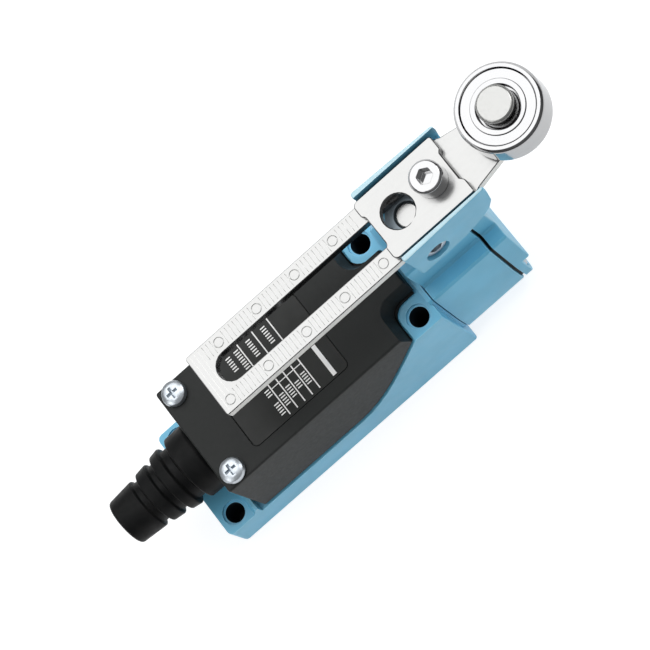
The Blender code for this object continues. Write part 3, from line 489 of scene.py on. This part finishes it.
METALS = {
    # colour, roughness low and high, grain size, grain stretch, relief, wear
    "plated_steel": ((0.43, 0.43, 0.425), 0.17, 0.27, 0.5, (1, 0.12, 1), 0.003, 0.06),
    "pin_steel": ((0.44, 0.44, 0.43), 0.28, 0.42, 0.5, (1, 1, 1), 0.008, 0.15),
    # matt sheared sides, their lighter colour a painted highlight
    "sheared_highlight_steel": ((0.72, 0.72, 0.70), 0.42, 0.60, 0.3, (1, 1, 0.2), 0.01, 0.2),
    # painted shade: dark line along the top chamfers of arm and plate
    "chamfer_shade_steel": ((0.22, 0.22, 0.22), 0.15, 0.25, 0.5, (1, 1, 1), 0.004, 0.1),
    "engraved_steel": ((0.56, 0.56, 0.55), 0.34, 0.46, 0.3, (1, 1, 1), 0.004, 0.1),
    # painted shade: dark upright sides of the arm, plate and pin
    "shaded_side_steel": ((0.10, 0.10, 0.10), 0.15, 0.25, 0.5, (1, 1, 1), 0.004, 0.1),
    "chrome": ((0.47, 0.47, 0.475), 0.06, 0.11, 0.6, (1, 1, 1), 0.001, 0.03),
    "zinc_screw": ((0.56, 0.60, 0.64), 0.30, 0.44, 0.4, (1, 1, 1), 0.003, 0.15),
    "bronze": ((0.60, 0.40, 0.20), 0.35, 0.5, 0.3, (1, 1, 1), 0.01, 0.2),
    "brass": ((0.78, 0.60, 0.28), 0.25, 0.4, 0.4, (1, 0.2, 1), 0.005, 0.15),
    "spring_steel": ((0.60, 0.60, 0.62), 0.22, 0.36, 0.3, (1, 1, 1), 0.004, 0.1),
}
PLAINS = {
    # colour, roughness, grain size, relief
    # painted highlight: paler blue for the holder's upper rim faces
    "rim_highlight_paint": ((0.52, 0.74, 0.82), 0.30, 0.8, 0.02),
    # painted shade: near-black walls of the mounting holes
    "bore": ((0.012, 0.022, 0.030), 0.6, 0.4, 0.02),
    "phenolic": ((0.16, 0.075, 0.035), 0.5, 0.3, 0.02),
    "cream_plastic": ((0.66, 0.62, 0.52), 0.5, 0.3, 0.02),
}
FINISHES = {
    "blue_paint": blue_paint("blue_paint"),
    "holder_paint": blue_paint("holder_paint", bare_seat()),
    "black_plastic": black_plastic(),
    "black_rubber": black_rubber(),
    "label_film": label_film(),
    "white_ink": white_ink(),
    **{name: metal(name, *look) for name, look in METALS.items()},
    **{name: plain(name, *look) for name, look in PLAINS.items()},
}


# ---- castings and mouldings ----------------------------------------------------------------

HOLE_X, HOLE_Y, HOLE_REACH = 10.0, 28.5, 2.3     # mounting holes: centres, and past their walls
RIM_HEIGHT = 0.6                                 # of the holder's upper edges, painted paler as a highlight


def finish_faces(piece, finish, wanted):
    """Another finish on the faces for which wanted(centre in mm, normal) is true."""
    piece.data.materials.append(finish)
    for face in piece.data.polygons:
        if wanted(face.center / MM, face.normal):
            face.material_index = len(piece.data.materials) - 1


def paint_bore_shade(casting):
    """Walls of the mounting holes: painted shade, a near-black finish where light hardly reaches.
    """
    centres = [Vector((x * HOLE_X, y * HOLE_Y)) for x in (-1, 1) for y in (-1, 1)]
    finish_faces(casting, FINISHES["bore"], lambda at, normal: abs(normal.z) < 0.2
                 and any((at.xy - centre).length < HOLE_REACH for centre in centres))


def make_castings():
    """Painted castings with rounded edges."""
    for node, body, width in (("housing", "housing", 0.22), ("head_block", "housing", 0.25),
                              ("head_cap", "housing", 0.25), ("lever_holder", "lever", 0.20)):
        finish = FINISHES["holder_paint" if node == "lever_holder" else "blue_paint"]
        casting = place(refined(node, width), body, finish, "blue_paint", [node])
        if node == "housing":
            paint_bore_shade(casting)
        if node == "lever_holder":
            # painted highlight: upward faces near the holder's top take a paler blue
            rim = box_mm(node)[1].z - RIM_HEIGHT
            finish_faces(casting, FINISHES["rim_highlight_paint"],
                         lambda at, normal: at.z > rim and normal.z > 0.5)


def make_mouldings():
    """Black cover and the label film sunk in it."""
    cover = refined("front_cover", 0.18)
    place(cover, "housing", FINISHES["black_plastic"], "black_plastic", ["front_cover"])
    film = refined("rating_plate", 0.06, 2)
    place(film, "housing", FINISHES["label_film"], "label_film", ["rating_plate"])


def make_boot():
    """Rubber boot turned from one profile of (radius, y): collars, the grooves between them, the
    bore, and the stepped neck that the cover's wall holds. Each corner has its rounding."""
    low, high = box_mm("cable_boot")
    end, inside = low.y + 0.02, high.y
    wall = box_mm("front_cover")[0].y
    shoulder, wall_inside = wall - 0.32, wall + 1.9
    bore, fold, collar, mouth = 3.3, 0.35, 0.4, 0.7
    outside = [
        ((7.3, shoulder), 0.1), ((7.65, wall - 1.1), 0.5), ((7.55, -28.1), fold),
        ((6.1, -28.6), fold), ((6.1, -30.3), fold),
        ((7.2, -30.6), collar), ((6.8, -32.9), fold),
        ((5.6, -33.1), fold), ((5.6, -34.4), fold),
        ((6.45, -34.7), collar), ((6.1, -37.4), fold),
        ((5.0, -37.6), fold), ((5.0, -39.0), fold),
        ((5.8, -39.2), collar), ((5.3, end), mouth), ((bore, end), 0.25)]
    neck = [(bore, inside), (6.9, inside), (6.9, wall_inside), (5.6, wall_inside), (5.6, shoulder)]
    corners = [corner for corner, radius in outside] + neck
    profile = rounded(corners, [radius for corner, radius in outside] + [0.0] * len(neck))
    axis = middle("cable_boot")
    boot = smooth(lathe("cable_boot_fine", profile, (axis.x, axis.z), "Y"), 40)
    place(boot, "housing", FINISHES["black_rubber"], "black_rubber", ["cable_boot"])


# ---- screws, shaft and seal ----------------------------------------------------------------

def make_small_parts():
    """Small visible parts with narrow rounded edges: node, body, finish, slot and width."""
    for node, body, finish, slot, width in (
            ("cover_screw_left", "housing", "zinc_screw", "zinc_screw", 0.10),
            ("cover_screw_right", "housing", "zinc_screw", "zinc_screw", 0.10),
            ("head_screw_left", "housing", "zinc_screw", "zinc_screw", 0.08),
            ("head_screw_right", "housing", "zinc_screw", "zinc_screw", 0.08),
            ("holder_grip_screw", "lever", "zinc_screw", "chrome", 0.08),
            ("arm_clamp_screw", "lever", "chrome", "chrome", 0.10),
            ("operating_shaft", "lever", "plated_steel", "plated_steel", 0.15),
            ("shaft_seal", "housing", "black_rubber", "black_rubber", 0.08)):
        place(refined(node, width, 2), body, FINISHES[finish], slot, [node])


# ---- arm, clamp plate and roller -----------------------------------------------------------

def upright(at, normal):
    """True for a face that stands up, wherever it is."""
    return abs(normal.z) < 0.3


def finish_edges(piece, node, chamfer):
    """Sides and chamfers of a stamped piece, darker than its plated faces: painted shade."""
    top = box_mm(node)[1].z

    def on_chamfer(at, normal):
        return 0.3 < normal.z < 0.9 and top - chamfer < at.z < top - 0.4 * chamfer

    finish_faces(piece, FINISHES["shaded_side_steel"], upright)
    # painted shade on the chamfers
    finish_faces(piece, FINISHES["chamfer_shade_steel"], on_chamfer)


def make_arm():
    """Slotted arm with ring marks every 10 mm on each rail and a fine tick every millimetre.

    Ticks keep clear of the rings, and run the full width where the slot has ended."""
    low, high = box_mm("lever_arm")
    face = high.z
    chamfer = 0.15
    rail_middle, rail_half, slot_end = 5.28, 1.55, -6.6
    first_tick, last_tick, depth, half = low.y + 1.0, 34.5, 0.06, 0.09
    ring_pitch, ring_radius, wire, lift = 10, 1.03, 0.14, 0.085
    right_ring, left_ring = 32.7, 27.7
    ring_reach, ring_clear = 1.3, 3.9
    marks = [(rail_middle, right_ring - ring_pitch * row) for row in range(5)]
    marks += [(-rail_middle, left_ring - ring_pitch * row) for row in range(4)]

    piece = chamfered("lever_arm", chamfer)
    rings = [torus("ring", mark, ring_radius, wire, face + lift) for mark in marks]
    cut(piece, merge("rings", rings))
    ticks = []
    for row in range(int(last_tick - first_tick)):
        y = first_tick + row
        wedge = [(y - 2 * half, face + depth), (y + 2 * half, face + depth), (y, face - depth)]
        beside = [mark[0] for mark in marks if abs(mark[1] - y) < ring_reach]
        if y < slot_end:
            reach = rail_middle + rail_half
            ticks.append(prism("tick", wedge, -reach, ring_clear if beside else reach, "X"))
            continue
        for side in (-1, 1):
            if not any(ring_x * side > 0 for ring_x in beside):
                centre = side * rail_middle
                ticks.append(prism("tick", wedge, centre - rail_half, centre + rail_half, "X"))
    cut(piece, merge("ticks", ticks))
    smooth(piece, STAMPED_ANGLE)
    place(piece, "arm", FINISHES["plated_steel"], "plated_steel", ["lever_arm"])
    finish_edges(piece, "lever_arm", chamfer)

    margin, neck = 1.0, box_mm("clamp_plate")[1].y

    def sheared(at, normal):
        """True for the outer sides, the free end and the neck, left matt by the cutting; their
        lighter colour is a painted highlight.
        """
        outside = abs(at.x) > high.x - margin or at.y < low.y + margin or at.y > neck
        return outside and upright(at, normal)

    finish_faces(piece, FINISHES["sheared_highlight_steel"], sheared)
    groove_low, groove_high = face - depth, face - 0.004
    finish_faces(piece, FINISHES["engraved_steel"],
                 lambda at, normal: groove_low < at.z < groove_high and 0.1 < normal.z < 0.98)


def make_plate():
    """Bright plate over the arm."""
    chamfer = 0.20
    piece = chamfered("clamp_plate", chamfer)
    place(piece, "lever", FINISHES["plated_steel"], "plated_steel", ["clamp_plate"])
    finish_edges(piece, "clamp_plate", chamfer)


def make_roller():
    """Turned roller: rounded rims, a stepped front face, a pressed bush, the pin and its washer."""
    low, high = box_mm("roller")
    front, back = high.z, low.z
    centre = (middle("roller").x, middle("roller").y)
    outer = high.x                       # the roller's radius, as its axis is at x = 0
    step, bore, drop, chamfer = 7.62, 5.62, 0.34, 0.55
    lean, lean_height = 0.08, 0.35       # of the rim just below the chamfer
    corners = [(bore, back), (outer, back), (outer, front - chamfer - lean_height),
               (outer - lean, front - chamfer), (outer - chamfer, front),
               (step + drop / 2, front), (step - drop / 2, front - drop), (bore, front - drop)]
    profile = rounded(corners, [0.1, 0.45, 0.2, 0.12, 0.06, 0.03, 0.03, 0.05], 4)
    roller = smooth(lathe("roller_fine", profile, centre, steps=128), 35)
    place(roller, "roller", FINISHES["chrome"], "chrome", ["roller"])

    recess, inner, pressed, bevel = 4.45, 3.97, bore - 0.03, 0.1
    bush_front, bush_back, recess_floor = front - 0.03, back + 0.05, front - 1.7
    corners = [(inner, bush_back), (pressed, bush_back), (pressed, bush_front - bevel),
               (pressed - bevel, bush_front), (recess, bush_front), (recess, recess_floor),
               (inner, recess_floor)]
    profile = rounded(corners, [0.05, 0.1, 0.03, 0.03, 0.14, 0.1, 0.05], 4)
    bush = smooth(lathe("roller_bush_fine", profile, centre, steps=96), 50)
    place(bush, "roller", FINISHES["chrome"], "chrome", ["roller_bush"])

    pin = refined("roller_pin", 0.16)
    place(pin, "arm", FINISHES["pin_steel"], "plated_steel", ["roller_pin"])
    # painted shade: the pin's upright sides take a dark steel
    finish_faces(pin, FINISHES["shaded_side_steel"], upright)
    place(refined("roller_washer", 0.10), "arm", FINISHES["chrome"], "chrome", ["roller_washer"])


# ---- label ---------------------------------------------------------------------------------

def make_label_print():
    """Heavy bar, ruled table and rows of plain strokes where the real film carries words.

    Each bar is (from x, to x, from y, to y). Each row of strokes is (first x, strokes, table row).
    """
    face = box_mm("rating_plate")[1].z
    base, top = face + 0.01, face + 0.05
    right, left, inner = 9.25, -9.4, 1.6
    first_rule, row, half_rule, column = 4.95, 2.0, 0.13, 2.65
    half_column = half_rule * 0.7
    rules = [first_rule - row * index for index in range(5)]
    bars = [(inner, right, 8.48, 9.42)]
    bars += [(inner if index % 2 else left, right, y - half_rule, y + half_rule)
             for index, y in enumerate(rules)]
    gap = half_rule + 0.02
    bars += [(column - half_column, column + half_column, y - row + gap, y - gap)
             for y in rules[:-1]]
    pitch, stroke, height, below_rule = 0.62, 0.26, 1.15, 0.42
    words = [(4.3, 5, 0), (4.9, 3, 1), (4.3, 5, 2), (4.7, 5, 3), (2.2, 3, 4), (5.6, 5, 4),
             (-8.6, 7, 0.4), (-8.6, 7, 2.4), (-8.6, 8, 4.0), (-8.6, 6, 5.1)]
    for start, strokes, line in words:
        upper = first_rule - row * line - below_rule
        for index in range(strokes):
            x = start + pitch * index
            bars.append((x, x + stroke, upper - height, upper))
    pieces = []
    for from_x, to_x, bottom, upper in bars:
        outline = [(from_x, bottom), (to_x, bottom), (to_x, upper), (from_x, upper)]
        pieces.append(prism("bar", outline, base, top))
    place(merge("label_print", pieces), "housing", FINISHES["white_ink"], "label_film")


# ---- CAD nodes that stay shown -------------------------------------------------------------

def dress_cad_nodes():
    """Every CAD node that stays shown takes its slot's procedural material."""
    for entry in frame["record"]["subparts"]:
        node = NODES[entry["node"]]
        finish = FINISHES[entry["material_slot"]]
        if not node.data.materials:
            node.data.materials.append(finish)
        for index in range(len(node.data.materials)):
            node.material_slots[index].link = "OBJECT"
            node.material_slots[index].material = finish


# ---- stage ---------------------------------------------------------------------------------

CAMERA_AIM = (-0.0012, 0.0130, 0.025)
CAMERA_DISTANCE = 0.6648
CAMERA_AZIMUTH = 22.667          # degrees, from +x towards +y
CAMERA_ELEVATION = 67.353        # degrees
CAMERA_ROLL = 48.396             # degrees
CAMERA_LENS = 184.39             # focal length in millimetres on a 36 mm wide sensor


def make_camera():
    """Camera at a distance from its aim point, turned about its own line of sight."""
    azimuth, elevation = math.radians(CAMERA_AZIMUTH), math.radians(CAMERA_ELEVATION)
    back = Vector((math.cos(elevation) * math.cos(azimuth), math.cos(elevation) * math.sin(azimuth),
                   math.sin(elevation)))
    side = Vector((0.0, 1.0, 0.0)).cross(back).normalized()
    up = back.cross(side)
    roll = Matrix.Rotation(math.radians(CAMERA_ROLL), 4, "Z")
    turn = Matrix((side, up, back)).transposed().to_4x4() @ roll
    data = bpy.data.cameras.new("camera")
    data.lens = CAMERA_LENS
    data.sensor_width = 36.0
    data.clip_start = 0.01
    camera = bpy.data.objects.new("camera", data)
    camera.matrix_world = Matrix.Translation(Vector(CAMERA_AIM) + back * CAMERA_DISTANCE) @ turn
    bpy.context.scene.collection.objects.link(camera)
    bpy.context.scene.camera = camera


def pale_surface(name, glow, grey):
    """Matt surface with a glow of its own."""
    surface = Finish(name, (grey, grey, grey), 0.85, 0.0, 0.1)
    surface.shader.inputs["Emission Color"].default_value = (1.0, 1.0, 1.0, 1.0)
    surface.shader.inputs["Emission Strength"].default_value = glow
    return surface.material


def make_floor():
    """White paper for the camera alone, a table under it that lights the object and shows in its
    metal, and a dark pad, a painted shadow that keeps the housing's through holes dark from below."""
    wide = 3000
    square = [(-wide, -wide), (wide, -wide), (wide, wide), (-wide, wide)]
    paper = prism("floor", square, -20.0, -0.05)
    paper.data.materials.append(pale_surface("white_paper", 0.80, 0.35))
    paper.visible_diffuse = False
    paper.visible_glossy = False
    table = prism("floor_light", square, -21.0, -0.06)
    table.data.materials.append(pale_surface("grey_table", 0.50, 0.75))
    table.visible_camera = False
    low, high = box_mm("housing")
    inset = 0.6
    pad_x, pad_low, pad_high = high.x - inset, low.y + inset, high.y - inset
    corners = [(-pad_x, pad_low), (pad_x, pad_low), (pad_x, pad_high), (-pad_x, pad_high)]
    # painted shadow: a dark pad under the housing
    shadow_pad = prism("floor_shadow_pad", corners, -0.04, -0.02)
    shadow_pad.data.materials.append(plain("shadow_pad", (0.02, 0.02, 0.02), 0.8, 0.5, 0.02))


def area_light(name, place_at, aim, size, power):
    """Square light at a place, turned towards its aim."""
    data = bpy.data.lights.new(name, "AREA")
    data.shape = "SQUARE"
    data.size = size
    data.energy = power
    light = bpy.data.objects.new(name, data)
    light.location = place_at
    direction = Vector(aim) - Vector(place_at)
    light.rotation_euler = direction.to_track_quat("-Z", "Y").to_euler()
    bpy.context.scene.collection.objects.link(light)


def make_world():
    """Dim studio: grey overhead, dark towards the horizon."""
    horizon, overhead = 0.06, 0.40
    world = bpy.data.worlds.new("studio")
    world.use_nodes = True
    tree = world.node_tree
    background = tree.nodes["Background"]
    place = tree.nodes.new("ShaderNodeTexCoord")
    height = tree.nodes.new("ShaderNodeSeparateXYZ")
    ramp = tree.nodes.new("ShaderNodeMapRange")
    ramp.inputs["From Min"].default_value = 0.0
    ramp.inputs["From Max"].default_value = 0.9
    ramp.inputs["To Min"].default_value = horizon
    ramp.inputs["To Max"].default_value = overhead
    tree.links.new(place.outputs["Generated"], height.inputs["Vector"])
    tree.links.new(height.outputs["Z"], ramp.inputs["Value"])
    tree.links.new(ramp.outputs["Result"], background.inputs["Strength"])
    background.inputs["Color"].default_value = (0.97, 0.985, 1.0, 1.0)
    bpy.context.scene.world = world


def make_light():
    """Large softbox, and two fills that light the roller end and the cable end."""
    make_world()
    centre = (0.0, 0.01, 0.03)
    area_light("softbox", (-0.48, -0.04, 1.00), centre, 1.25, 8.5)
    area_light("top_fill", (-0.12, 0.87, 0.92), centre, 0.6, 4.8)
    area_light("cable_fill", (0.20, -0.85, 0.75), centre, 0.5, 2.2)
    bpy.context.scene.view_settings.view_transform = "Standard"


make_castings()
make_mouldings()
make_boot()
make_small_parts()
make_arm()
make_plate()
make_roller()
make_label_print()
dress_cad_nodes()
make_floor()
make_light()
make_camera()
